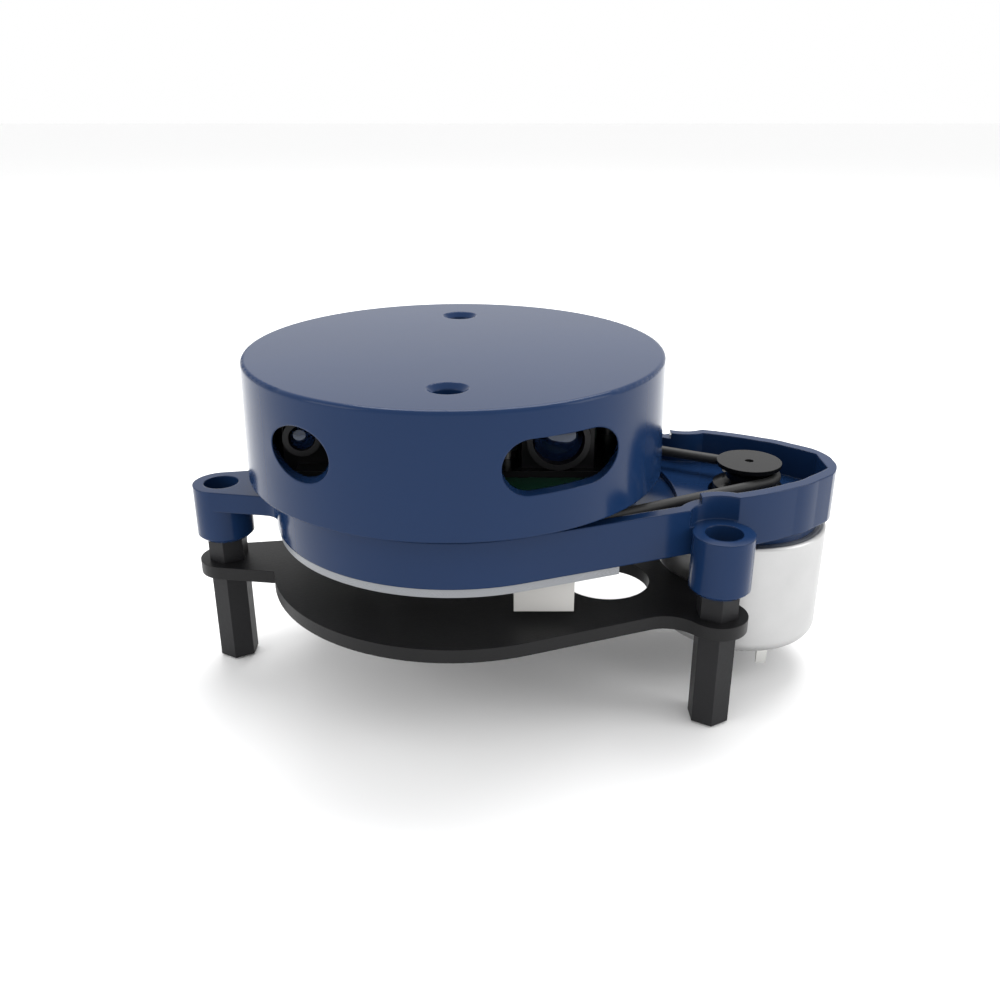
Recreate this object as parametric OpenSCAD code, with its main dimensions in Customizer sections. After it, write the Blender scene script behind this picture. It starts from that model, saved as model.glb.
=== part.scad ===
// Belt-driven lidar scanner module.
// Origin: the turning axis of the head, in the plane that the three feet stand on.
// +Z is up, +X points from the head's axis to the motor's axis, and the head looks along -Y at rest.

/* [Stand] */
// Length of the hex standoffs that the module stands on
leg_h = 17.1; // [12:0.1:30]
// Thickness of the mounting plate
plate_t = 2.3; // [1.5:0.1:4]
// Height of the hex spacers between the plate and the base
spacer_h = 4.5; // [3.5:0.1:12]
// Width across the flats of the standoffs and spacers
hex_flats = 6.0; // [5.5:0.1:8]
// Distance from the head's axis to the rear foot
rear_foot_x = 41.2; // [39:0.1:50]
// Distance along X from the head's axis to the two front feet
front_foot_x = 42.4; // [41:0.1:48]
// Distance of each front foot from the centre line
front_foot_y = 21.2; // [20:0.1:28]

/* [Mounting plate] */
// Radius of the round part of the plate
plate_r = 32.5; // [30:0.1:38]
// Radius of the plate's ears round the feet
ear_r = 5.0; // [4.5:0.1:7]
// Radius of the wire hole in the plate
wire_hole_r = 7.5; // [4:0.1:8]

/* [Base] */
// Outer radius of the round wall under the head
ring_r = 31.1; // [30:0.1:34]
// Thickness of the base's walls
base_wall = 2.0; // [1.2:0.1:2.4]
// Thickness of the base's floor under the head
floor_t = 2.0; // [1.5:0.1:3]
// Height of the round wall above the base's underside
ring_wall_h = 7.6; // [7:0.1:8.4]
// Extra height of the wall round the motor pulley
bay_rise = 1.1; // [0:0.1:1.4]
// Height of the channel floor above the base's underside
channel_floor_h = 3.2; // [2.6:0.1:3.4]
// Radius of the recess in the channel floor, round the head's axis
pit_r = 38.2; // [36:0.1:40]
// Outer radius of the three bosses
boss_r = 4.9; // [4.6:0.1:6]
// Height of the bosses
boss_h = 9.7; // [8.5:0.1:12]
// Distance from the bosses' top up to the top of the round wall
boss_step = 2.9; // [2:0.1:4]
// Thickness of the rear arm
arm_t = 3.5; // [2.5:0.1:4.5]

/* [Motor] */
// Distance from the head's axis to the motor's axis
motor_x = 50.7; // [49:0.1:56]
// Outer radius of the motor can
motor_r = 14.05; // [12:0.05:14.6]
// Length of the motor can
motor_h = 20.3; // [18:0.1:20.6]
// Diameter of the motor shaft
shaft_d = 1.5; // [1:0.1:2.3]
// Distance from the motor's axis to the outer face of the bay's nose
bay_nose = 14.6; // [13.5:0.1:17]

/* [Belt drive] */
// Thickness of the round belt
belt_d = 1.8; // [1.2:0.1:2]
// Radius of the belt's centre line on the head's drum
drum_pitch_r = 27.4; // [26.8:0.1:27.6]
// Radius of the belt's centre line on the motor pulley
pulley_pitch_r = 4.7; // [4.2:0.1:6]
// Radius of the motor pulley's top flange
pulley_flange_r = 5.5; // [5:0.1:6.5]
// Height of the motor pulley
pulley_h = 5.0; // [4.6:0.1:5.4]

/* [Head] */
// Radius of the head at its lower edge
head_r = 35.0; // [34.5:0.1:40]
// How much narrower the head is at the top
head_draft = 0.37; // [0:0.01:1]
// Height of the head's cover
head_h = 19.3; // [19:0.1:26]
// Wall thickness of the cover
cover_wall = 2.0; // [1.2:0.1:2.2]
// Thickness of the cover's top
cover_top_t = 2.2; // [1.5:0.1:2.6]
// Gap between the round wall's top and the head
head_gap = 1.9; // [1.7:0.1:3]
// Distance of the two screw holes from the axis
screw_y = 23.7; // [21:0.1:26]
// Radius of the screw holes in the cover
screw_hole_r = 2.3; // [2.2:0.1:3]

/* [Windows] */
// Height of the windows' centre above the head's lower edge
window_h = 10.5; // [10:0.1:11]
// Half of the windows' height
window_r = 4.2; // [3.5:0.1:5]
// Centre of the receiver's window, along X
receiver_x = 16.3; // [15.5:0.1:18]
// Straight length of the receiver's window
receiver_straight = 8.7; // [0:0.1:9]
// Place of the laser's axis along X, where it leaves the head
laser_x = -21.2; // [-22:0.1:-19]
// Angle that the laser is turned towards the receiver
laser_turn = 8; // [4:0.5:10]

/* [Hidden] */
$fn = 96;
eps = 0.05;

// Fits
run_gap = 0.05;
fit_gap = 0.1;

// Heights
plate_z = leg_h;
spacer_z = plate_z + plate_t;
boss_z = spacer_z + spacer_h;
boss_top = boss_z + boss_h;
wall_top = boss_top + boss_step;
base_z = wall_top - ring_wall_h;
pit_z = base_z + floor_t;
channel_z = base_z + channel_floor_h;
bay_top = wall_top + bay_rise;
head_z = wall_top + head_gap;
head_top = head_z + head_h;
window_z = head_z + window_h;

// Stand
hex_r = hex_flats / 2 / cos(30);
m3_thread_r = 1.25;
m3_shank_r = 1.2;
m3_clear_r = 1.65;
foot_thread_depth = 8;
stud_h = 2.6;
feet = [[-rear_foot_x, 0], [front_foot_x, -front_foot_y], [front_foot_x, front_foot_y]];
plate_taper = 21.3;
plate_notch_r = motor_r + 0.7;
wire_hole = [25.6, -9.0];

// Base
wall_taper = 20.8;
channel_end_r = ring_r - motor_x * sin(wall_taper);
bay_side_r = 44;
bay_side_turn = 23.9;
bay_half_w = motor_r + 0.7;
bay_start_x = 30;
bay_round_r = 10.6;
bay_round_x = 10.1;
bay_flat = 0.1;
bay_step_x = 39.5;
notch_r = boss_r + 0.6;
notch_wall = 1.8;
boss_bore_r = 3.0;
boss_bore_depth = 5.6;
boss_chamfer = 0.6;
low_wall_h = 2.7;
seat_h = 1.5;
seat_r = 12.4;
seat_wall = 2.0;
arm_root_r = 8.2;
arm_fillet_r = 3;

// Bearing, 20 x 32 x 7
bearing_bore_r = 10;
bearing_r = 16;
bearing_w = 7;
bearing_z = head_z - bearing_w;
ball_r = 1.75;
ball_pitch_r = 13;
ball_count = 12;
race_wall = 1.7;
ball_z = bearing_z + bearing_w / 2;
clip_t = 0.7;
clip_groove_r = bearing_bore_r - 0.5;
hub_top = head_z + 1.2;
hub_bore_r = 6.5;
hub_shoulder_r = bearing_bore_r + 1.3;
cup_seat_r = 8.2;

// Lower circuit board
board_t = 1.5;
board_z = base_z - board_t;
board_r = ring_r - 0.3;
board_end_x = 26.1;
board_screws = [for (a = [40, 160, 250]) 26 * [cos(a), sin(a)]];
m2_shank_r = 0.95;
m2_head_r = 1.9;
m2_head_h = 1.3;
m2_clear_r = 1.15;
socket = [9.5, 6.0, 6.4];
socket_at = [9.7, -23.4];
socket_wall = 0.7;
socket_pins = 5;
socket_pitch = 0.9;

// Motor
motor_top = base_z - seat_h;
motor_z = motor_top - motor_h;
can_t = 0.9;
can_edge_r = 2;
can_top_edge_r = 0.6;
front_plate_t = 1.2;
cap_r = 10.4;
cap_t = 2.2;
motor_screw_y = 9.6;
motor_screw_head_r = 2.2;
motor_screw_head_h = 1.4;
motor_screw_r = 1.15;
bush_r = 3;
bush_up = 2.0;
bush_down = 2.0;
magnet_r = motor_r - can_t;
magnet_t = 3.6;
magnet_span = 140;
magnet_z = [motor_z + 4.5, motor_top - 4.5];
pole_count = 3;
rotor_r = magnet_r - magnet_t - 0.5;
core_z = [magnet_z[0] + 1.5, magnet_z[1] - 1.5];
commutator_r = 1.9;
commutator_z = [motor_z + 2.6, motor_z + 4.7];
tab = [1.8, 0.5, 6.8];
tab_at = [3.3, 8.8];
pulley_top = bay_top;
pulley_z = pulley_top - pulley_h;
pulley_low_r = 5.9;
pulley_hole_r = pulley_low_r + 0.7;
shaft_below_top = 0.4;

// Belt
belt_z = pulley_z + 2.5;
groove_gap = 0.1;
belt_turn = asin((drum_pitch_r - pulley_pitch_r) / motor_x);
belt_sides = 12;
belt_drum_steps = 60;
belt_pulley_steps = 14;

// Turntable
table_t = 2.0;
table_r = head_r - cover_wall - 0.4;
table_top = head_z + table_t;
drum_r = drum_pitch_r + 1.0;
drum_inner_r = drum_pitch_r - 2.8;
drum_z = belt_z - 1.7;
housing_r = bearing_r + 2.2;
housing_z = bearing_z + 0.6;
table_hole_r = 14.6;
tooth_r = [21.2, 22.4];
tooth_count = 15;
tooth_h = 3.8;
fork_w = 3.0;
fork_x = [19.3, 20.7, 22.8, 24.0];

// Upper circuit board
rotor_board_gap = 1.0;
rotor_board_t = 1.6;
rotor_board_r = 31;
rotor_board_z = table_top + rotor_board_gap;
rotor_board_top = rotor_board_z + rotor_board_t;
rotor_screw_x = 26;
core_r = 8.1;
core_hole_r = 2.6;
core_t = 1.4;
coil_r = [3.9, 7.1];
coil_t = 0.8;

// Optics
post_r = 3.4;
post_seat_h = 2.0;
bench_t = 1.0;
bench_x = [-23.5, 23.5];
bench_y = [-21.5, -9.5];
bench_screws = [[-9, -14.5], [8.5, -14.5]];
laser_exit_y = -sqrt(pow(head_r, 2) - pow(laser_x, 2));
laser_r = 2.9;
laser_back = [7.5, 18.5];
laser_block = [7.4, 7, 8.2];
lens_r = 4.8;
lens_y = [-21.5, -9.8];
lens_wall = 0.9;
lens_block = [11, 8];
sensor_board_y = -7.9;
sensor_board = [14, 1.4, 11];
chip = [8, 1.0, 5];

// Plain shapes, from one height to another

module disc(r, z0, z1, p = [0, 0]) {
    translate([p[0], p[1], z0]) cylinder(r = r, h = z1 - z0);
}

module ring(r_in, r_out, z0, z1, p = [0, 0]) {
    difference() {
        disc(r_out, z0, z1, p);
        disc(r_in, z0 - 1, z1 + 1, p);
    }
}

module hex(z0, z1, p) {
    translate([p[0], p[1], z0]) rotate(30) cylinder(r = hex_r, h = z1 - z0, $fn = 6);
}

module slab(points, z0, z1) {
    translate([0, 0, z0]) linear_extrude(z1 - z0) polygon(points);
}

module block(x, y, z) {
    translate([x[0], y[0], z[0]]) cube([x[1] - x[0], y[1] - y[0], z[1] - z[0]]);
}

// A sector of the plane, with its sides half_angle each side of the direction turn
module sector(half_angle, reach, z0, z1, turn = 0) {
    rotate(turn)
        slab([[0, 0], reach * [1, -tan(half_angle)], reach * [1, tan(half_angle)]], z0, z1);
}

function on_circle(c, r, a) = [c[0] + r * cos(a), c[1] + r * sin(a)];

// Two discs joined by their outer tangents, as a belt round them would lie
module web(c1, r1, c2, r2, z0, z1) {
    d = norm(c2 - c1);
    lie = atan2(c2[1] - c1[1], c2[0] - c1[0]);
    a = acos((r1 - r2) / d);
    disc(r1, z0, z1, c1);
    disc(r2, z0, z1, c2);
    slab([
        on_circle(c1, r1, lie + a), on_circle(c2, r2, lie + a),
        on_circle(c2, r2, lie - a), on_circle(c1, r1, lie - a)
    ], z0, z1);
}

// Rounds the inner corner between a disc and a straight side with an arc of radius r.
// The side is the line whose outward normal has the angle lie and which is off from the origin.
module inner_corner(c1, r1, lie, off, r, side, z0, z1) {
    n = [cos(lie), sin(lie)];
    above = c1 * n - off;
    along = sqrt(pow(r1 + r, 2) - pow(r - above, 2));
    c = c1 + (r - above) * n + side * along * [-n[1], n[0]];
    foot = c - (r + 0.5) * n;
    difference() {
        slab(above > 0 ? [c1, c, foot, c1 - (above + 0.5) * n] : [c1 + 0.7 * (c - c1), c, foot], z0, z1);
        disc(r, z0 - 1, z1 + 1, c);
    }
}

module cross_slot(z) {
    for (turn = [0, 90]) translate([0, 0, z]) rotate(turn) cube([2.4, 0.5, 1.2], center = true);
}

module screw(head_r, head_h, shank_r, z_head, z_tip, p) {
    disc(head_r, z_head, z_head + head_h, p);
    disc(shank_r, z_tip, z_head, p);
}

// Stand: standoffs, plate and spacers

module hex_standoffs() {
    color("#2b2b2b") for (p = feet) difference() {
        union() {
            hex(0, leg_h, p);
            disc(m3_thread_r, leg_h - 1, leg_h + plate_t + stud_h, p);
        }
        disc(m3_thread_r, -1, foot_thread_depth, p);
    }
}

module hex_spacers() {
    color("#2b2b2b") for (p = feet) difference() {
        hex(spacer_z, boss_z, p);
        disc(m3_thread_r + run_gap, spacer_z - 1, boss_z + 1, p);
    }
}

module boss_screws() {
    z_head = boss_top - boss_bore_depth;
    color("#8f9296") for (p = feet) difference() {
        screw(boss_bore_r - 0.25, 2.4, m3_shank_r, z_head, spacer_z + stud_h + 0.3, p);
        translate([p[0], p[1], z_head + 1]) cylinder(r = 1.45, h = 2, $fn = 6);
    }
}

module plate_outline(z0, z1) {
    intersection() {
        web([0, 0], plate_r, [motor_x, 0], plate_r - motor_x * sin(plate_taper), z0, z1);
        block([-plate_r - 1, front_foot_x + ear_r / 2], [-plate_r - 1, plate_r + 1], [z0, z1]);
    }
    web([-rear_foot_x, 0], ear_r, [12.5 - plate_r, 0], ear_r + 3.2, z0, z1);
    for (side = [-1, 1]) {
        disc(ear_r, z0, z1, [front_foot_x, side * front_foot_y]);
        inner_corner([front_foot_x, side * front_foot_y], ear_r, side * (90 - plate_taper), plate_r,
                     6, side, z0, z1);
    }
}

module mounting_plate() {
    color("#1c1c1c") difference() {
        plate_outline(plate_z, spacer_z);
        disc(plate_notch_r, plate_z - 1, spacer_z + 1, [motor_x, 0]);
        disc(wire_hole_r, plate_z - 1, spacer_z + 1, wire_hole);
        for (p = feet) disc(m3_clear_r, plate_z - 1, spacer_z + 1, p);
    }
}

// Base: floor, walls, belt channel, motor bay, bosses and bearing hub

module bay(z0, z1, inset) {
    cx = motor_x - bay_side_r * sin(bay_side_turn);
    cy = bay_half_w - bay_side_r * cos(bay_side_turn);
    intersection() {
        disc(bay_side_r - inset, z0, z1, [cx, cy]);
        disc(bay_side_r - inset, z0, z1, [cx, -cy]);
        block([bay_start_x, motor_x + bay_nose - inset], [-bay_side_r, bay_side_r], [z0, z1]);
        union() {
            block([bay_start_x, motor_x + bay_round_x], [-bay_side_r, bay_side_r], [z0, z1]);
            disc(bay_round_r, z0, z1, [motor_x + bay_nose + bay_flat - bay_round_r, 0]);
        }
    }
}

module base_outline(z0, z1, inset) {
    web([0, 0], ring_r - inset, [motor_x, 0], channel_end_r - inset, z0, z1);
    bay(z0, z1, inset);
}

module boss_notches(r, z0, z1) {
    for (p = [feet[1], feet[2]]) disc(r, z0, z1, p);
}

module boss(p) {
    translate([p[0], p[1], boss_z]) {
        cylinder(r1 = boss_r - boss_chamfer, r2 = boss_r, h = boss_chamfer);
        translate([0, 0, boss_chamfer]) cylinder(r = boss_r, h = boss_h - boss_chamfer);
    }
}

module rear_arm() {
    z0 = boss_top - arm_t;
    root = [arm_root_r - ring_r, 0];
    lie = acos((boss_r - arm_root_r) / (root[0] - feet[0][0]));
    web(feet[0], boss_r, root, arm_root_r, z0, boss_top);
    for (side = [-1, 1])
        inner_corner([0, 0], ring_r, side * lie, arm_root_r + root[0] * cos(lie),
                     arm_fillet_r, side, z0, boss_top);
}

module base_solid() {
    base_outline(base_z, wall_top, 0);
    intersection() {
        base_outline(base_z, bay_top, 0);
        block([bay_step_x, motor_x + bay_nose + 1], [-ring_r, ring_r], [base_z, bay_top]);
    }
    for (p = feet) boss(p);
    rear_arm();
    disc(seat_r, motor_top, base_z, [motor_x, 0]);
}

module base_cavity() {
    difference() {
        union() {
            base_outline(channel_z, bay_top + 1, base_wall);
            intersection() {
                base_outline(pit_z, bay_top + 1, base_wall);
                disc(pit_r, pit_z, bay_top + 1);
            }
        }
        boss_notches(notch_r + notch_wall, base_z, bay_top + 2);
    }
}

module hub() {
    disc(hub_shoulder_r, base_z, bearing_z);
    disc(bearing_bore_r, base_z, hub_top);
}

module base_frame() {
    color("#24406b") difference() {
        union() {
            difference() {
                base_solid();
                base_cavity();
                boss_notches(notch_r, boss_top, bay_top + 1);
            }
            ring(ring_r - base_wall, ring_r, base_z, pit_z + low_wall_h);
            hub();
            for (p = board_screws) disc(2.4, base_z, pit_z + 1.5, p);
        }
        disc(hub_bore_r, base_z - 1, hub_top + 1);
        disc(cup_seat_r, hub_top - 1.7, hub_top + 1);
        ring(clip_groove_r, bearing_bore_r + 1, head_z, head_z + clip_t + run_gap);
        for (p = feet) {
            disc(m3_clear_r, boss_z - 1, boss_top + 1, p);
            disc(boss_bore_r, boss_top - boss_bore_depth, boss_top + 1, p);
        }
        for (p = board_screws) disc(m2_shank_r + run_gap, base_z - 1, pit_z + 1, p);
        disc(pulley_hole_r, motor_top - 1, channel_z + 1, [motor_x, 0]);
        disc(seat_r - seat_wall, motor_top - 1, base_z, [motor_x, 0]);
        for (side = [-1, 1]) {
            p = [motor_x, side * motor_screw_y];
            disc(motor_screw_r + fit_gap, motor_top - 1, channel_z + 1, p);
            disc(motor_screw_head_r + fit_gap, channel_z - motor_screw_head_h, channel_z + 1, p);
        }
    }
}

// Lower circuit board and what is on it

module control_board() {
    color("#d9dad6") difference() {
        intersection() {
            web([0, 0], board_r, [motor_x, 0], channel_end_r - 0.3, board_z, base_z);
            block([-board_r - 1, board_end_x], [-board_r - 1, board_r + 1], [board_z, base_z]);
        }
        for (p = board_screws) disc(m2_clear_r, board_z - 1, base_z + 1, p);
    }
}

module control_board_chips() {
    color("#26282b") {
        translate([-12, 2, board_z - 1.2]) cube([7, 7, 1.2]);
        translate([4, 6, board_z - 1.5]) cube([5, 4, 1.5]);
        translate([-4, -14, board_z - 2.4]) cube([4, 4, 2.4]);
        translate([12, -4, board_z - 1.6]) cube([5, 3.2, 1.6]);
        disc(2.5, board_z - 5.4, board_z, [-16, -10]);
    }
}

module board_screws() {
    color("#8f9296") for (p = board_screws) {
        disc(m2_head_r, board_z - m2_head_h, board_z, p);
        disc(m2_shank_r, board_z, pit_z + 0.8, p);
    }
}

module wire_socket() {
    x1 = socket_at[0] + socket[0];
    y0 = socket_at[1];
    y1 = y0 + socket[1];
    z0 = board_z - socket[2];
    w = socket_wall;
    color("#ecebe6") difference() {
        block([socket_at[0], x1], [y0, y1], [z0, board_z]);
        block([socket_at[0] + 2.2, x1 + 1], [y0 + w, y1 - w], [z0 + w, board_z - w]);
    }
}

module wire_socket_pins() {
    x0 = socket_at[0] + 2.2;
    y0 = socket_at[1] + socket[1] / 2;
    z0 = board_z - socket_wall - 0.75;
    color("#c9a24a") for (i = [0 : socket_pins - 1]) {
        y = y0 + (i - (socket_pins - 1) / 2) * socket_pitch;
        block([x0, x0 + 5], [y - 0.2, y + 0.2], [z0, z0 + 0.4]);
    }
}

module data_emitter() {
    color("#5a3f5e") {
        disc(1.5, base_z, base_z + 1.6);
        translate([0, 0, base_z + 1.6]) intersection() {
            sphere(r = 1.5);
            disc(2, 0, 2);
        }
    }
}

module encoder_fork() {
    color("#1f1f21") {
        block([-fork_x[3], -fork_x[0]], [-fork_w / 2, fork_w / 2], [pit_z, head_z - tooth_h - 1]);
        block([-fork_x[3], -fork_x[2]], [-fork_w / 2, fork_w / 2], [pit_z, head_z - 1]);
        block([-fork_x[1], -fork_x[0]], [-fork_w / 2, fork_w / 2], [pit_z, head_z - 1]);
    }
}

// Ferrite ring with a groove for its winding, open side up
module coil_core(z0) {
    difference() {
        ring(core_hole_r, core_r, z0, z0 + core_t);
        ring(coil_r[0] - fit_gap, coil_r[1] + fit_gap, z0 + core_t - coil_t, z0 + core_t + 1);
    }
}

module lower_coil_core() {
    color("#3a3a3c") coil_core(hub_top - 1.7);
}

module lower_coil_winding() {
    z1 = hub_top - 1.7 + core_t;
    color("#b5652c") ring(coil_r[0], coil_r[1], z1 - coil_t, z1 - fit_gap);
}

// Bearing and its clip

module hub_clip() {
    color("#5f6164") difference() {
        ring(clip_groove_r, bearing_bore_r + 1.4, head_z, head_z + clip_t);
        sector(22, 14, head_z - 1, head_z + 2, 90);
    }
}

module race(r_in, r_out) {
    difference() {
        ring(r_in, r_out, bearing_z, head_z);
        translate([0, 0, ball_z]) rotate_extrude() translate([ball_pitch_r, 0])
            circle(r = ball_r + run_gap);
    }
}

module bearing_inner_ring() {
    color("#c4c7ca") race(bearing_bore_r, bearing_bore_r + race_wall);
}

module bearing_outer_ring() {
    color("#c4c7ca") race(bearing_r - race_wall, bearing_r);
}

module bearing_balls() {
    color("#d6d8da") for (i = [0 : ball_count - 1])
        rotate(i * 360 / ball_count) translate([ball_pitch_r, 0, ball_z]) sphere(r = ball_r);
}

module bearing_cage() {
    color("#b98a3c") difference() {
        ring(ball_pitch_r - 0.75, ball_pitch_r + 0.75, ball_z - 0.5, ball_z + 2.5);
        for (i = [0 : ball_count - 1])
            rotate(i * 360 / ball_count) translate([ball_pitch_r, 0, ball_z])
                sphere(r = ball_r + fit_gap);
    }
}

// Motor

// A disc whose rim is rounded to the radius edge at one end: below if up is -1, above if it is 1
module rounded_end(r, edge, z, up) {
    disc(r - edge, min(z, z - up * edge), max(z, z - up * edge));
    translate([0, 0, z - up * edge]) rotate_extrude() translate([r - edge, 0]) intersection() {
        circle(r = edge);
        translate([0, up > 0 ? -eps : -edge]) square([edge, edge + eps]);
    }
}

module motor_can() {
    color("#c9cbcc") translate([motor_x, 0, 0]) difference() {
        union() {
            disc(motor_r, motor_z + can_edge_r, motor_top - can_top_edge_r);
            rounded_end(motor_r, can_edge_r, motor_z, -1);
            rounded_end(motor_r, can_top_edge_r, motor_top, 1);
        }
        disc(magnet_r, motor_z + can_edge_r, motor_top + 1);
        disc(cap_r, motor_z - 1, motor_z + can_edge_r + 1);
    }
}

module motor_front_plate() {
    color("#b9bbbd") difference() {
        disc(magnet_r, motor_top - front_plate_t, motor_top, [motor_x, 0]);
        disc(bush_r, motor_top - 2, motor_top + 1, [motor_x, 0]);
        for (side = [-1, 1])
            disc(motor_screw_r + run_gap, motor_top - 2, motor_top + 1,
                 [motor_x, side * motor_screw_y]);
    }
}

module motor_bush() {
    color("#9a7440")
        ring(shaft_d / 2 + run_gap, bush_r, motor_top - bush_down, motor_top + bush_up, [motor_x, 0]);
}

module motor_end_cap() {
    color("#3b3d40") difference() {
        disc(cap_r, motor_z - 0.3, motor_z + cap_t, [motor_x, 0]);
        disc(shaft_d / 2 + run_gap, motor_z + 0.6, motor_z + cap_t + 1, [motor_x, 0]);
        for (side = [-1, 1]) translate([motor_x + tab_at[0], side * tab_at[1], 0])
            cube([tab[0], tab[1], 60], center = true);
    }
}

module motor_terminals() {
    x = motor_x + tab_at[0] - tab[0] / 2;
    z = motor_z + cap_t - tab[2];
    color("#c4c7ca") for (side = [-1, 1])
        translate([x, side * tab_at[1] - tab[1] / 2, z]) cube(tab);
}

module motor_magnets() {
    color("#4b4d50") translate([motor_x, 0, 0]) for (turn = [0, 180]) intersection() {
        ring(magnet_r - magnet_t, magnet_r, magnet_z[0], magnet_z[1]);
        sector(magnet_span / 2, 30, magnet_z[0], magnet_z[1], turn);
    }
}

module motor_brushes() {
    color("#a8793a") translate([motor_x, 0, 0]) for (turn = [0, 180]) rotate(turn)
        block([commutator_r + run_gap, commutator_r + 2], [-0.8, 0.8],
              [motor_z + cap_t, commutator_z[1] - 0.4]);
}

module motor_screws() {
    z_head = channel_z - motor_screw_head_h;
    color("#8f9296") for (side = [-1, 1]) translate([motor_x, side * motor_screw_y, 0]) difference() {
        screw(motor_screw_head_r, motor_screw_head_h - 0.1, motor_screw_r, z_head, motor_top - 3, [0, 0]);
        cross_slot(z_head + motor_screw_head_h);
    }
}

module motor_shaft() {
    color("#d0d2d4") disc(shaft_d / 2, motor_z + 0.9, pulley_top - shaft_below_top, [motor_x, 0]);
}

module motor_pulley() {
    neck_r = pulley_pitch_r - belt_d / 2 - groove_gap;
    color("#232323") translate([motor_x, 0, pulley_z]) difference() {
        rotate_extrude() polygon([
            [0, 0], [pulley_low_r, 0], [pulley_low_r, 0.9], [neck_r + 0.6, 1.6], [neck_r, 2.1],
            [neck_r, belt_z - pulley_z + 0.6], [pulley_flange_r, pulley_h - 0.7],
            [pulley_flange_r, pulley_h], [0, pulley_h]
        ]);
        disc(shaft_d / 2, -1, pulley_h + 1);
    }
}

module motor_armature() {
    shoe_t = 1.2;
    shoe_half = 48;
    neck = rotor_r - shoe_t / 2 - 1.5;
    color("#6d6f72") translate([motor_x, 0, core_z[0]]) linear_extrude(core_z[1] - core_z[0])
        difference() {
            union() {
                circle(r = 2.4);
                for (i = [0 : pole_count - 1]) rotate(i * 360 / pole_count) {
                    translate([1.5, -1.1]) square([neck, 2.2]);
                    intersection() {
                        difference() {
                            circle(r = rotor_r);
                            circle(r = rotor_r - shoe_t);
                        }
                        polygon([[0, 0], 30 * [1, -tan(shoe_half)], 30 * [1, tan(shoe_half)]]);
                    }
                }
            }
            circle(r = shaft_d / 2);
        }
}

module motor_windings() {
    color("#b5652c") translate([motor_x, 0, 0]) for (i = [0 : pole_count - 1])
        rotate(i * 360 / pole_count) difference() {
            block([2.9, rotor_r - 1.8], [-2.2, 2.2], [core_z[0] - 1.1, core_z[1] + 1.1]);
            block([2, rotor_r], [-1.2, 1.2], [core_z[0] - fit_gap, core_z[1] + fit_gap]);
        }
}

module motor_commutator() {
    color("#b98a3c") ring(shaft_d / 2, commutator_r, commutator_z[0], commutator_z[1], [motor_x, 0]);
}

// Round belt: rings of points round each wheel, and straight runs between the last ring of each
function belt_ring(x, r, turn) = [for (i = [0 : belt_sides - 1])
    let (out = r + belt_d / 2 * cos(i * 360 / belt_sides))
    [x + out * cos(turn), out * sin(turn), belt_z + belt_d / 2 * sin(i * 360 / belt_sides)]];

module drive_belt() {
    lap = 90 - belt_turn;
    drum_rings = [for (i = [0 : belt_drum_steps])
        belt_ring(0, drum_pitch_r, lap + i * (360 - 2 * lap) / belt_drum_steps)];
    pulley_rings = [for (i = [0 : belt_pulley_steps])
        belt_ring(motor_x, pulley_pitch_r, -lap + i * 2 * lap / belt_pulley_steps)];
    rings = concat(drum_rings, pulley_rings);
    n = belt_sides;
    color("#161616") polyhedron(
        points = [for (r = rings) each r],
        faces = [for (i = [0 : len(rings) - 1], j = [0 : n - 1])
            let (next = (i + 1) % len(rings), k = (j + 1) % n)
            [i * n + j, i * n + k, next * n + k, next * n + j]]
    );
}

// Turntable: plate, drum for the belt, bearing housing and encoder teeth

module belt_groove() {
    r = belt_d / 2 + groove_gap;
    translate([0, 0, belt_z]) rotate_extrude() union() {
        translate([drum_pitch_r, 0]) circle(r = r);
        polygon([[drum_pitch_r, -r], [drum_r + 1, -r - 0.3], [drum_r + 1, r + 0.3], [drum_pitch_r, r]]);
    }
}

module turntable() {
    color("#1d1f22") difference() {
        union() {
            disc(table_r, head_z, table_top);
            ring(drum_inner_r, drum_r, drum_z, head_z);
            disc(housing_r, housing_z, head_z);
            difference() {
                ring(tooth_r[0], tooth_r[1], head_z - tooth_h, head_z);
                for (i = [0 : tooth_count - 1])
                    rotate((i + 0.5) * 360 / tooth_count)
                        block([0, 30], [-2.2, 2.2], [head_z - tooth_h - 1, head_z]);
            }
            for (p = concat(bench_screws, [[rotor_screw_x, 0], [-rotor_screw_x, 0]]))
                disc(2.1, head_z, rotor_board_z, p);
            for (side = [-1, 1]) disc(post_r, head_z, rotor_board_z, [0, side * screw_y]);
        }
        disc(table_hole_r, housing_z - 1, rotor_board_z + 1);
        disc(bearing_r, housing_z - 1, head_z);
        belt_groove();
        for (p = concat(bench_screws, [[rotor_screw_x, 0], [-rotor_screw_x, 0]]))
            disc(m2_shank_r + run_gap, head_z + 0.4, rotor_board_z + 1, p);
        for (side = [-1, 1])
            disc(m3_shank_r + run_gap, head_z - 1, rotor_board_z + 1, [0, side * screw_y]);
    }
}

// Upper circuit board and what is on it

module rotor_board() {
    color("#1f5a3c") difference() {
        disc(rotor_board_r, rotor_board_z, rotor_board_top);
        for (p = concat(bench_screws, [[rotor_screw_x, 0], [-rotor_screw_x, 0]]))
            disc(m2_clear_r, rotor_board_z - 1, rotor_board_top + 1, p);
        for (side = [-1, 1])
            disc(m3_shank_r + 0.2, rotor_board_z - 1, rotor_board_top + 1, [0, side * screw_y]);
    }
}

module rotor_board_chips() {
    z = rotor_board_top;
    color("#26282b") {
        translate([-12, 4, z]) cube([9, 9, 1.2]);
        translate([2, 6, z]) cube([5, 6, 1.4]);
        translate([12, 6, z]) cube([4.5, 3, 1.5]);
        translate([-22, 2, z]) cube([4, 4, 2]);
        translate([10, 14, z]) cube([3.2, 2.5, 1]);
        translate([-9, 18, z]) cube([3.2, 1.6, 1]);
    }
}

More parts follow.
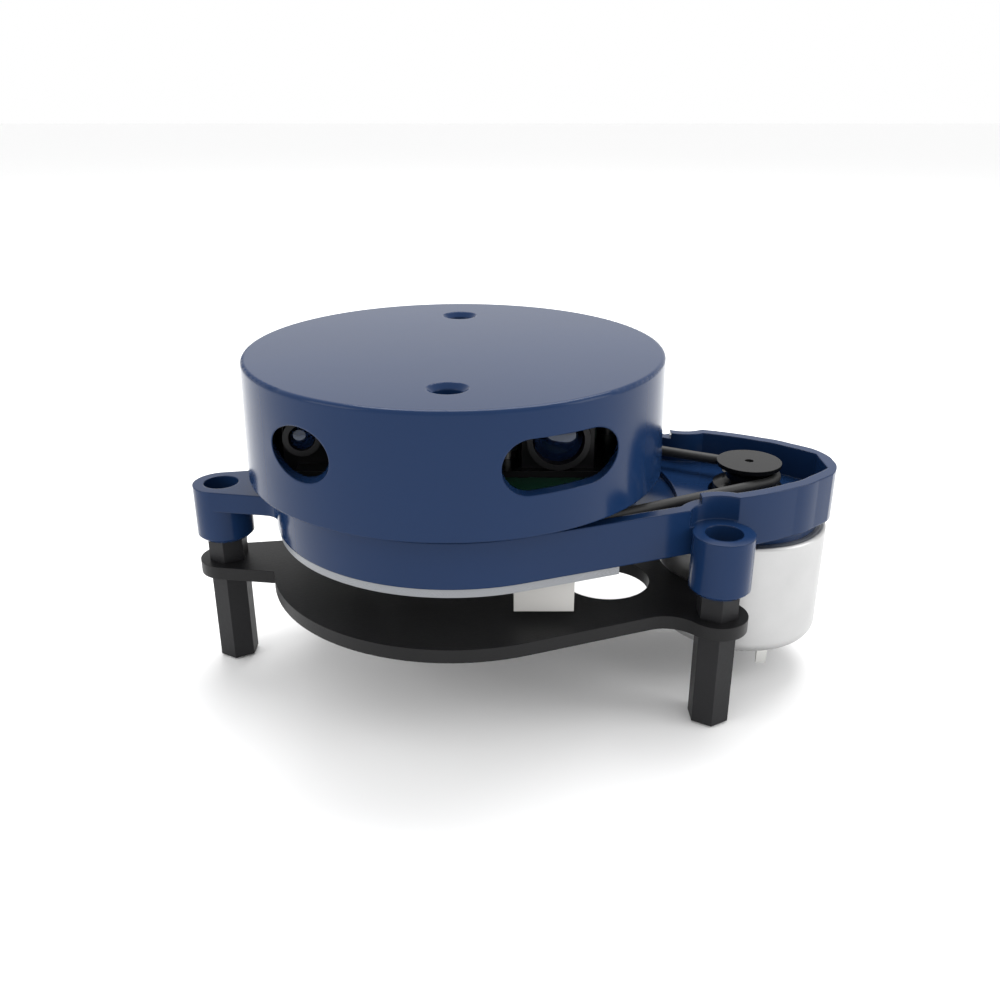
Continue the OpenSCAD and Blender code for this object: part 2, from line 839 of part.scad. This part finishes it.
module rotor_board_screws() {
    color("#8f9296") for (side = [-1, 1])
        screw(m2_head_r, m2_head_h, m2_shank_r, rotor_board_top, head_z + 0.6, [side * rotor_screw_x, 0]);
}

module upper_coil_core() {
    color("#3a3a3c") mirror([0, 0, 1]) coil_core(-rotor_board_z);
}

module upper_coil_winding() {
    z0 = rotor_board_z - core_t;
    color("#b5652c") ring(coil_r[0], coil_r[1], z0 + fit_gap, z0 + coil_t);
}

module data_receiver() {
    color("#2d2f33") disc(1.3, rotor_board_z - 1.1, rotor_board_z);
}

// Optics

// Moves its children to the laser's axis: +X is the way the light leaves, 0 is the cover's face
module at_laser() {
    translate([laser_x, laser_exit_y, window_z]) rotate([0, 0, laser_turn - 90]) children();
}

module x_rod(r, x0, x1) {
    translate([x0, 0, 0]) rotate([0, 90, 0]) cylinder(r = r, h = x1 - x0);
}

module at_receiver() {
    translate([receiver_x, 0, window_z]) rotate([0, 0, -90]) children();
}

module optics_bench() {
    z0 = rotor_board_top;
    z1 = z0 + bench_t;
    laser_block_h = window_z - z0 + laser_block[2] / 2;
    lens_block_h = window_z - z0 + lens_r + 0.7;
    color("#202225") difference() {
        intersection() {
            union() {
                block(bench_x, bench_y, [z0, z1]);
                at_laser() translate([-laser_back[1] + 1.5, -laser_block[0] / 2, z0 - window_z])
                    cube([laser_block[1], laser_block[0], laser_block_h]);
                at_receiver() translate([12, -lens_block[0] / 2, z0 - window_z])
                    cube([lens_block[1], lens_block[0], lens_block_h]);
            }
            disc(rotor_board_r + 0.5, z0, head_top);
        }
        at_laser() x_rod(laser_r + run_gap, -laser_back[1] - 5, 0);
        at_receiver() x_rod(lens_r + run_gap, 5, 30);
        disc(post_r + 0.6, z0 - 1, z1 + 1, [0, -screw_y]);
        for (p = bench_screws) disc(m2_clear_r, z0 - 1, z1 + 1, p);
    }
}

module bench_screws() {
    color("#8f9296") for (p = bench_screws)
        screw(m2_head_r, m2_head_h, m2_shank_r, rotor_board_top + bench_t, head_z + 0.6, p);
}

module laser_barrel() {
    color("#1c1c1e") at_laser() difference() {
        x_rod(laser_r, -laser_back[1], -laser_back[0]);
        x_rod(1.2, -laser_back[1] + 3, -laser_back[0] + 1);
        x_rod(2.0, -laser_back[0] - 1.6, -laser_back[0] + 1);
        x_rod(2.4, -laser_back[1] - 1, -laser_back[1] + 3);
    }
}

module laser_lens() {
    color("#9fd4e6") at_laser() intersection() {
        x_rod(1.95, -laser_back[0] - 1.5, -laser_back[0] + 1);
        translate([-laser_back[0] - 3.3, 0, 0]) sphere(r = 3.2);
    }
}

module laser_diode() {
    color("#c9a24a") at_laser() {
        x_rod(2.35, -laser_back[1] + 0.4, -laser_back[1] + 1.6);
        x_rod(1.6, -laser_back[1] + 1.6, -laser_back[1] + 2.8);
        for (y = [-1.1, 0, 1.1]) translate([0, y, 0])
            x_rod(0.22, -laser_back[1] - 2.4, -laser_back[1] + 0.4);
    }
}

module receiver_barrel() {
    x0 = -lens_y[1];
    x1 = -lens_y[0];
    color("#17181a") at_receiver() difference() {
        x_rod(lens_r, x0, x1);
        x_rod(lens_r - 2.4, x0 - 1, x1 + 1);
        x_rod(lens_r - lens_wall, x1 - 3.2, x1 + 1);
        x_rod(lens_r - 1.6, x0 - 1, x0 + 4);
    }
}

module receiver_front_lens() {
    x1 = -lens_y[0];
    color("#8fb8d8") at_receiver() intersection() {
        x_rod(lens_r - lens_wall - run_gap, x1 - 3.1, x1 + 1);
        translate([x1 - 6.5, 0, 0]) sphere(r = 6.2);
    }
}

module receiver_rear_lens() {
    x0 = -lens_y[1];
    color("#8fb8d8") at_receiver() intersection() {
        x_rod(lens_r - 1.6 - run_gap, x0 + 2.2, x0 + 3.9);
        translate([x0 + 8.2, 0, 0]) sphere(r = 6);
    }
}

module infrared_filter() {
    x0 = -lens_y[1];
    color("#7a1f2a") at_receiver() x_rod(lens_r - 1.6 - run_gap, x0 + 0.4, x0 + 1.0);
}

module sensor_board() {
    color("#1f5a3c") block(
        [receiver_x - sensor_board[0] / 2, receiver_x + sensor_board[0] / 2],
        [sensor_board_y, sensor_board_y + sensor_board[1]],
        [rotor_board_top, rotor_board_top + sensor_board[2]]
    );
}

module image_sensor() {
    color("#30343a") block(
        [receiver_x - chip[0] / 2, receiver_x + chip[0] / 2],
        [sensor_board_y - chip[1], sensor_board_y],
        [window_z - chip[2] / 2, window_z + chip[2] / 2]
    );
}

// Head cover

module cover_outside() {
    top_r = head_r - head_draft;
    edge = 0.65;
    translate([0, 0, head_z]) rotate_extrude() union() {
        polygon([[0, 0], [head_r, 0], [top_r, head_h - edge], [0, head_h - edge]]);
        square([top_r - edge, head_h]);
        translate([top_r - edge, head_h - edge]) intersection() {
            circle(r = edge);
            translate([0, -eps]) square(edge + eps);
        }
    }
}

module cover_inside() {
    r = head_r - cover_wall;
    translate([0, 0, head_z - 1]) cylinder(r1 = r, r2 = r - head_draft, h = head_h - cover_top_t + 1);
}

module receiver_window() {
    half = receiver_straight / 2;
    translate([receiver_x, 0, window_z]) {
        for (side = [-1, 1]) translate([side * half, 0, 0]) rotate([90, 0, 0])
            cylinder(r = window_r, h = head_r + 5);
        translate([-half, -head_r - 5, -window_r]) cube([2 * half, head_r + 5, 2 * window_r]);
    }
}

module head_cover() {
    color("#24406b") difference() {
        union() {
            difference() {
                cover_outside();
                cover_inside();
            }
            for (side = [-1, 1]) disc(post_r, rotor_board_top, head_top - 1, [0, side * screw_y]);
        }
        for (side = [-1, 1]) translate([0, side * screw_y, 0]) {
            disc(m3_shank_r + 0.2, rotor_board_top - 1, head_top);
            disc(screw_hole_r, rotor_board_top + post_seat_h, head_top + 1);
            translate([0, 0, head_top - 0.85]) cylinder(r1 = screw_hole_r, r2 = screw_hole_r + 0.9, h = 0.9);
        }
        intersection() {
            at_laser() x_rod(window_r, -12, 10);
            block([-head_r, 0], [-head_r - 5, -screw_y + post_r + 2], [head_z, head_top]);
        }
        receiver_window();
    }
}

module head_screws() {
    z_head = rotor_board_top + post_seat_h;
    color("#8f9296") for (side = [-1, 1]) translate([0, side * screw_y, 0]) difference() {
        screw(screw_hole_r - 0.15, 1.6, m3_shank_r, z_head, head_z + 0.6, [0, 0]);
        cross_slot(z_head + 1.6);
    }
}

base_frame();
control_board();
control_board_chips();
board_screws();
wire_socket();
wire_socket_pins();
data_emitter();
encoder_fork();
lower_coil_core();
lower_coil_winding();
hub_clip();
bearing_inner_ring();
bearing_outer_ring();
bearing_balls();
bearing_cage();
motor_can();
motor_front_plate();
motor_end_cap();
motor_terminals();
motor_bush();
motor_magnets();
motor_brushes();
motor_screws();
motor_shaft();
motor_armature();
motor_windings();
motor_commutator();
motor_pulley();
drive_belt();
mounting_plate();
hex_spacers();
hex_standoffs();
boss_screws();
turntable();
rotor_board();
rotor_board_chips();
rotor_board_screws();
upper_coil_core();
upper_coil_winding();
data_receiver();
optics_bench();
bench_screws();
laser_barrel();
laser_lens();
laser_diode();
receiver_barrel();
receiver_front_lens();
receiver_rear_lens();
infrared_filter();
sensor_board();
image_sensor();
head_cover();
head_screws();
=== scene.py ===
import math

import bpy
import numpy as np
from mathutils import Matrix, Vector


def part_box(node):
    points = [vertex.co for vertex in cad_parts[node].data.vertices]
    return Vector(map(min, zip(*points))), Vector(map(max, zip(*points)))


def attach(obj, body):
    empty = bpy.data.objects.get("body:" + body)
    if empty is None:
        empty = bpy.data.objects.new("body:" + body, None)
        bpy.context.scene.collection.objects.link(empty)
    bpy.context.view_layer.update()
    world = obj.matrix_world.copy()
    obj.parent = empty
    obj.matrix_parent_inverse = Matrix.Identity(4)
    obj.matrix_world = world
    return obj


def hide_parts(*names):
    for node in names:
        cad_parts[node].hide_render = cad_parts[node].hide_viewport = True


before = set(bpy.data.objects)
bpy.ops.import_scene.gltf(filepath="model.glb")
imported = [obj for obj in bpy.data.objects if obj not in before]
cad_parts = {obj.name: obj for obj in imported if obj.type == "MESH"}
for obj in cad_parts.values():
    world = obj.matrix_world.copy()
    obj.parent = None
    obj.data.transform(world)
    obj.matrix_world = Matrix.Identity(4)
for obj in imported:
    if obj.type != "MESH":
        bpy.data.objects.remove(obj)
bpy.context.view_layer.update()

# Studio
# A pale flat floor under soft light from a large panel overhead and two side panels, with the camera
# looking slightly down at the front of the head.


def surface(name, grids, smooth=True):
    """One mesh of grids of points: a list of (points, wrap_u, wrap_v), where points[i, j] is one
    point and a wrap joins the last row or column to the first. Faces are (i, j), (i, j + 1),
    (i + 1, j + 1), (i + 1, j)."""
    corners, faces, start = [], [], 0
    for points, wrap_u, wrap_v in grids:
        points = np.asarray(points, float)
        rows, columns = points.shape[:2]
        index = start + np.arange(rows * columns).reshape(rows, columns)
        index = np.concatenate([index, index[:1]]) if wrap_u else index
        index = np.concatenate([index, index[:, :1]], axis=1) if wrap_v else index
        ring = [index[:-1, :-1], index[:-1, 1:], index[1:, 1:], index[1:, :-1]]
        faces.append(np.stack(ring, -1).reshape(-1, 4))
        corners.append(points.reshape(-1, 3))
        start += rows * columns
    mesh = bpy.data.meshes.new(name)
    mesh.from_pydata(np.concatenate(corners).tolist(), [], np.concatenate(faces).tolist())
    mesh.validate()
    mesh.polygons.foreach_set("use_smooth", [smooth] * len(mesh.polygons))
    made = bpy.data.objects.new(name, mesh)
    bpy.context.collection.objects.link(made)
    return made


class Socket:
    """One output socket of a node. The operators add Math nodes: a * b, 1 - a and so on."""

    def __init__(self, tree, output):
        self.tree, self.output = tree, output

    def math(self, operation, *values):
        return node(self.tree, "ShaderNodeMath", {"operation": operation}, *values)

    def __add__(self, other):
        return self.math("ADD", self, other)

    def __sub__(self, other):
        return self.math("SUBTRACT", self, other)

    def __rsub__(self, other):
        return self.math("SUBTRACT", other, self)

    def __mul__(self, other):
        return self.math("MULTIPLY", self, other)

    def __gt__(self, other):
        return self.math("GREATER_THAN", self, other)

    def __pow__(self, other):
        return self.math("POWER", self, other)

    __radd__, __rmul__ = __add__, __mul__


def node(tree, kind, settings, *values, out=0, **named):
    """Adds a node: settings are its own properties, values go to its sockets in order, and named
    ones go to the sockets of that name, with _ for a space."""
    made = tree.nodes.new(kind)
    for key, value in settings.items():
        setattr(made, key, value)
    pairs = list(zip(made.inputs, values))
    pairs += [(made.inputs[key.replace("_", " ")], value) for key, value in named.items()]
    for socket, value in pairs:
        if isinstance(value, Socket):
            tree.links.new(value.output, socket)
        elif value is not None:
            socket.default_value = value
    return Socket(tree, made.outputs[out])


def blank_material(name):
    """A new node material, with its tree and its Principled shader."""
    material = bpy.data.materials.new(name)
    material.use_nodes = True
    return material, material.node_tree, material.node_tree.nodes["Principled BSDF"]


def mix(tree, factor, first, second):
    """One colour turned into another by factor, from 0 to 1."""
    made = tree.nodes.new("ShaderNodeMix")
    made.data_type = "RGBA"
    sockets = made.inputs[0], made.inputs[6], made.inputs[7]
    for socket, value in zip(sockets, (factor, first, second)):
        if isinstance(value, Socket):
            tree.links.new(value.output, socket)
        else:
            socket.default_value = value if socket is made.inputs[0] else (*value, 1)
    return Socket(tree, made.outputs[2])


def noise(tree, scale, detail=3.0, stretch=(1, 1, 1)):
    """Fractal noise on the object's own coordinates, scale in waves a metre."""
    place = node(tree, "ShaderNodeTexCoord", {}, out=3)
    wide = node(tree, "ShaderNodeMapping", {}, place, Scale=stretch)
    return node(tree, "ShaderNodeTexNoise", {}, wide, Scale=scale, Detail=detail)


def bump(tree, height, depth, rounding=0.0):
    """A Bump node over height, depth metres deep, on edges rounded to the radius rounding."""
    normal = node(tree, "ShaderNodeBevel", {"samples": 6}, rounding) if rounding else None
    return node(
        tree, "ShaderNodeBump", {}, Strength=1.0, Distance=depth, Height=height, Normal=normal
    )


def finish_with(shader, **inputs):
    """Sets or links the shader's sockets by name, with _ for a space."""
    for key, value in inputs.items():
        socket = shader.inputs[key.replace("_", " ")]
        if isinstance(value, Socket):
            value.tree.links.new(value.output, socket)
        else:
            socket.default_value = value


def paint(material, *names):
    """Puts a material on CAD nodes or on new pieces."""
    for name in names:
        mesh = bpy.data.objects[name].data
        mesh.materials.clear()
        mesh.materials.append(material)


floor_material, tree, shader = blank_material("studio_floor")
finish_with(shader, Base_Color=(0.96, 0.96, 0.96, 1), Roughness=0.7, Specular_IOR_Level=0.1)
reach = np.linspace(-2.2, 2.2, 3)
floor_x, floor_y = np.meshgrid(reach, reach, indexing="ij")
FLOOR_DROP = 0.0004
floor_points = np.stack([floor_x, floor_y, 0 * floor_x - FLOOR_DROP], -1)
floor = surface("studio_floor", [(floor_points, False, False)])
floor.data.flip_normals()
floor.data.materials.append(floor_material)

world = bpy.data.worlds.new("studio_air")
bpy.context.scene.world = world
world.use_nodes = True
bpy.context.scene.view_settings.view_transform = "Standard"
world.node_tree.nodes["Background"].inputs["Color"].default_value = (1, 1, 1, 1)
world.node_tree.nodes["Background"].inputs["Strength"].default_value = 1.0


def panel(name, place, width, height, watts, aim=(0.008, 0, 0.035)):
    """A flat soft light at place, turned towards aim."""
    light = bpy.data.lights.new(name, "AREA")
    light.shape, light.size, light.size_y, light.energy = "RECTANGLE", width, height, watts
    lamp = bpy.data.objects.new(name, light)
    lamp.location = place
    lamp.rotation_mode = "QUATERNION"
    lamp.rotation_quaternion = (Vector(aim) - Vector(place)).to_track_quat("-Z", "Y")
    bpy.context.collection.objects.link(lamp)


panel("panel_over", (0.05, 0.25, 0.55), 0.5, 0.35, 3.2)
panel("panel_left", (-0.5, -0.25, 0.28), 0.3, 0.3, 0.7)
panel("panel_right", (0.55, -0.15, 0.25), 0.25, 0.4, 1.0)

camera_data = bpy.data.cameras.new("front_camera")
camera_data.sensor_width, camera_data.lens = 36, 36.19
camera_data.clip_start, camera_data.clip_end = 0.005, 20
camera = bpy.data.objects.new("front_camera", camera_data)
camera.location = (0.00753, -0.16299, 0.0992)
CAMERA_LOOKS_DOWN = 22.94
camera.rotation_euler = (math.radians(90 - CAMERA_LOOKS_DOWN), 0, 0)
bpy.context.collection.objects.link(camera)
bpy.context.scene.camera = camera


# Blue mouldings
# The base and the head's cover are injection moulded in one glossy blue plastic, with small
# rounded edges and the faint flow marks of the mould.

NAVY = (0.008, 0.026, 0.080)
MOULDED_EDGE = 0.00035


def moulded_plastic(name, colour, gloss, edge=MOULDED_EDGE, sheen=0.16):
    """Moulded plastic: slow and fine noise vary its colour and gloss and ripple its surface."""
    material, tree, shader = blank_material(name)
    slow, fine = noise(tree, 45, 2), noise(tree, 900, 4)
    deep = tuple(0.86 * c for c in colour)
    finish_with(
        shader,
        Base_Color=mix(tree, slow, deep, colour),
        Roughness=fine * 0.07 + (slow * 0.05 + gloss),
        Specular_IOR_Level=sheen,
        Normal=bump(tree, slow * 0.6 + fine * 0.03, 0.00005, edge),
    )
    return material


blue_shell = moulded_plastic("blue_moulding", NAVY, 0.10)
paint(blue_shell, "base_frame", "head_cover")


# Stand
# The plate is cut from black sheet, and stands on black nylon hex standoffs with more hex
# spacers above it; one M3 screw runs down through each boss into its spacer.


def satin_black(name, colour, rough, grain, edge):
    """Black sheet or nylon: a fine grain in gloss and height, with paler worn patches."""
    material, tree, shader = blank_material(name)
    slow, fine = noise(tree, 60, 2), noise(tree, grain, 5)
    worn = tuple(min(1, 1.5 * c + 0.004) for c in colour)
    finish_with(
        shader,
        Base_Color=mix(tree, slow, colour, worn),
        Roughness=fine * 0.12 + rough,
        Specular_IOR_Level=0.18,
        Normal=bump(tree, fine, 0.00002, edge),
    )
    return material


paint(satin_black("black_sheet", (0.006, 0.006, 0.0065), 0.36, 2600, 0.00015), "mounting_plate")
black_nylon = satin_black("black_nylon", (0.009, 0.009, 0.010), 0.42, 1500, 0.0001)
paint(black_nylon, "hex_standoffs", "hex_spacers")


def turned_metal(name, colour, rough, streak=(1, 1, 40), edge=0.00008):
    """Turned or drawn metal: noise stretched into fine streaks varies its gloss and height."""
    material, tree, shader = blank_material(name)
    lines = noise(tree, 900, 4, streak)
    cloud = noise(tree, 120, 3)
    dull = tuple(0.8 * c for c in colour)
    finish_with(
        shader,
        Base_Color=mix(tree, cloud, dull, colour),
        Metallic=1.0,
        Roughness=lines * 0.14 + rough,
        Normal=bump(tree, lines, 0.000008, edge),
    )
    return material


screw_steel = turned_metal("zinc_plated_screws", (0.50, 0.50, 0.48), 0.28, (1, 1, 1))
screws = ["board_screws", "boss_screws", "motor_screws", "rotor_board_screws", "bench_screws"]
paint(screw_steel, *screws, "head_screws", "hub_clip")

# Motor
# A small brushed motor hangs under the bay: a drawn, satin plated steel can with a rolled end,
# a black end cap with two tinned terminals, and the rotor inside.

can_steel = turned_metal("satin_nickel_can", (0.50, 0.50, 0.50), 0.34, (30, 30, 1), 0.0002)
paint(can_steel, "motor_can", "motor_front_plate")
paint(turned_metal("ground_steel", (0.68, 0.69, 0.70), 0.14), "motor_shaft")
bronze = turned_metal("sintered_bronze", (0.42, 0.27, 0.13), 0.42, (1, 1, 1))
paint(bronze, "motor_bush", "motor_brushes")
brass = turned_metal("brass", (0.66, 0.47, 0.19), 0.24)
paint(brass, "wire_socket_pins", "laser_diode")
paint(turned_metal("tinned_tabs", (0.72, 0.72, 0.70), 0.3, (1, 1, 1)), "motor_terminals")
laminations = turned_metal("stacked_steel", (0.36, 0.36, 0.37), 0.38, (1, 1, 60), 0.00005)
paint(laminations, "motor_armature")
enamelled_copper = turned_metal("enamelled_copper", (0.56, 0.22, 0.09), 0.22, (1, 1, 30), 0.00015)
coils = ["motor_windings", "motor_commutator", "lower_coil_winding", "upper_coil_winding"]
paint(enamelled_copper, *coils)
ferrite = satin_black("ferrite", (0.035, 0.035, 0.038), 0.55, 3000, 0.0001)
paint(ferrite, "motor_magnets", "lower_coil_core", "upper_coil_core")
black_mould = moulded_plastic("black_moulding", (0.010, 0.010, 0.011), 0.24, 0.0001)
paint(black_mould, "motor_end_cap", "encoder_fork", "optics_bench", "turntable")

# Pulley and belt
# The pulley is turned from black acetal and pressed on the shaft; a round rubber belt runs from
# its neck to the drum under the head.

paint(moulded_plastic("black_acetal", (0.004, 0.004, 0.0045), 0.2, 0.00012), "motor_pulley")

BELT_R, BELT_Z = 0.0009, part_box("drive_belt")[0].z + 0.0009
DRUM_R, PULLEY_R, PULLEY_X = 0.0274, 0.0047, 0.0507
lap = math.acos((DRUM_R - PULLEY_R) / PULLEY_X)
straight = PULLEY_X * math.sin(lap)


def belt_surface(rows, columns):
    """A circle of radius BELT_R carried along the belt's line: an arc of DRUM_R round the head's
    axis, a straight run, an arc of PULLEY_R round the motor's axis, and a straight run back."""
    lengths = np.array([(2 * math.pi - 2 * lap) * DRUM_R, straight, 2 * lap * PULLEY_R, straight])
    ends = np.concatenate([[0], np.cumsum(lengths)])
    s = np.linspace(0, ends[-1], rows, endpoint=False)
    on_drum, on_pulley = s < ends[1], (s >= ends[2]) & (s < ends[3])
    first_run = (s >= ends[1]) & (s < ends[2])
    turn = np.where(on_drum, lap + s / DRUM_R, np.where(first_run, -lap, lap))
    turn = np.where(on_pulley, (s - ends[2]) / PULLEY_R - lap, turn)
    centre_x = np.where(on_pulley, PULLEY_X, 0.0)
    radius = np.where(on_pulley, PULLEY_R, DRUM_R)
    x, y = centre_x + radius * np.cos(turn), radius * np.sin(turn)
    run = np.where(first_run, s - ends[1], np.where(on_drum | on_pulley, 0, ends[-1] - s))
    side = np.where(first_run, -1.0, 1.0)
    x, y = x + run * math.sin(lap), y - side * run * math.cos(lap)
    around = np.linspace(0, 2 * math.pi, columns, endpoint=False)
    out = BELT_R * np.cos(around)[None, :]
    x = x[:, None] + out * np.cos(turn)[:, None]
    y = y[:, None] + out * np.sin(turn)[:, None]
    z = BELT_Z + BELT_R * np.sin(around)[None, :] + 0 * x
    return np.stack([x, y, z], -1)


belt = surface("round_belt", [(belt_surface(420, 24), True, True)])
belt_material, tree, shader = blank_material("belt_rubber")
rubber_grain = noise(tree, 3500, 3)
finish_with(
    shader,
    Base_Color=mix(tree, rubber_grain, (0.010, 0.010, 0.010), (0.022, 0.022, 0.022)),
    Roughness=rubber_grain * 0.2 + 0.5,
    Normal=bump(tree, rubber_grain, 0.00002),
)
belt.data.materials.append(belt_material)
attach(belt, "base")
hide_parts("drive_belt")

# Bearing
# A plain deep-groove bearing: ground steel rings and balls, and a moulded nylon cage.

ring_steel = turned_metal("bearing_rings", (0.66, 0.67, 0.68), 0.12, (1, 1, 60))
paint(ring_steel, "bearing_inner_ring", "bearing_outer_ring")
paint(turned_metal("bearing_balls", (0.72, 0.73, 0.74), 0.06, (1, 1, 1)), "bearing_balls")
paint(moulded_plastic("cage_nylon", (0.55, 0.36, 0.13), 0.3, 0.0001), "bearing_cage")

# Circuit boards
# The lower board is pale grey, the upper boards green: glass fibre and resin, with the lacquer's
# sheen over the copper tracks.


LANES_PER_CELL, LANE_GAP = 9, 0.62


def circuit_board(name, colour, track_colour):
    """A lacquered board: square cells of noise make straight tracks, and a fine weave shows."""
    material, tree, shader = blank_material(name)
    place = node(tree, "ShaderNodeTexCoord", {}, out=3)
    cells = node(
        tree, "ShaderNodeTexVoronoi", {"distance": "MANHATTAN", "feature": "F2"}, place, Scale=260
    )
    lanes = cells * LANES_PER_CELL
    tracks = lanes.math("FRACT", lanes) > LANE_GAP
    weave = noise(tree, 2600, 2)
    finish_with(
        shader,
        Base_Color=mix(tree, tracks, colour, track_colour),
        Roughness=weave * 0.1 + 0.28,
        Normal=bump(tree, tracks * 0.5 + weave * 0.4, 0.00002, 0.00006),
    )
    return material


paint(circuit_board("white_board", (0.24, 0.25, 0.27), (0.20, 0.21, 0.22)), "control_board")
green_board = circuit_board("green_board", (0.006, 0.035, 0.020), (0.010, 0.055, 0.030))
paint(green_board, "rotor_board", "sensor_board")
chip_black = moulded_plastic("chip_black", (0.018, 0.018, 0.020), 0.42, 0.00008)
paint(chip_black, "control_board_chips", "rotor_board_chips", "image_sensor")
paint(moulded_plastic("socket_nylon", (0.56, 0.55, 0.53), 0.30, 0.00012), "wire_socket")
dark_led = moulded_plastic("dark_led", (0.10, 0.03, 0.12), 0.08, 0.0001)
paint(dark_led, "data_emitter", "data_receiver")

# Optics
# Coated glass in black anodised barrels: the laser looks out of the round window, and the
# receiver out of the long one, with a red filter before its sensor.


def coated_glass(name, tint, sheen):
    """Lens glass, clear with a faint tint; the sheen on the surface is its coating."""
    material, tree, shader = blank_material(name)
    smear = noise(tree, 500, 2)
    finish_with(
        shader,
        Base_Color=mix(tree, smear, tint, tuple(0.9 * c for c in tint)),
        Roughness=smear * 0.03 + 0.01,
        Transmission_Weight=0.92,
        IOR=1.52,
        Coat_Weight=0.6,
        Coat_Tint=(*sheen, 1),
    )
    return material


lens_glass = coated_glass("lens_glass", (0.06, 0.10, 0.16), (0.3, 0.5, 0.9))
paint(lens_glass, "laser_lens", "receiver_front_lens", "receiver_rear_lens")
paint(coated_glass("red_filter", (0.45, 0.03, 0.06), (1.0, 0.6, 0.6)), "infrared_filter")
anodised = satin_black("black_anodised", (0.012, 0.012, 0.013), 0.33, 3000, 0.0001)
paint(anodised, "receiver_barrel", "laser_barrel")
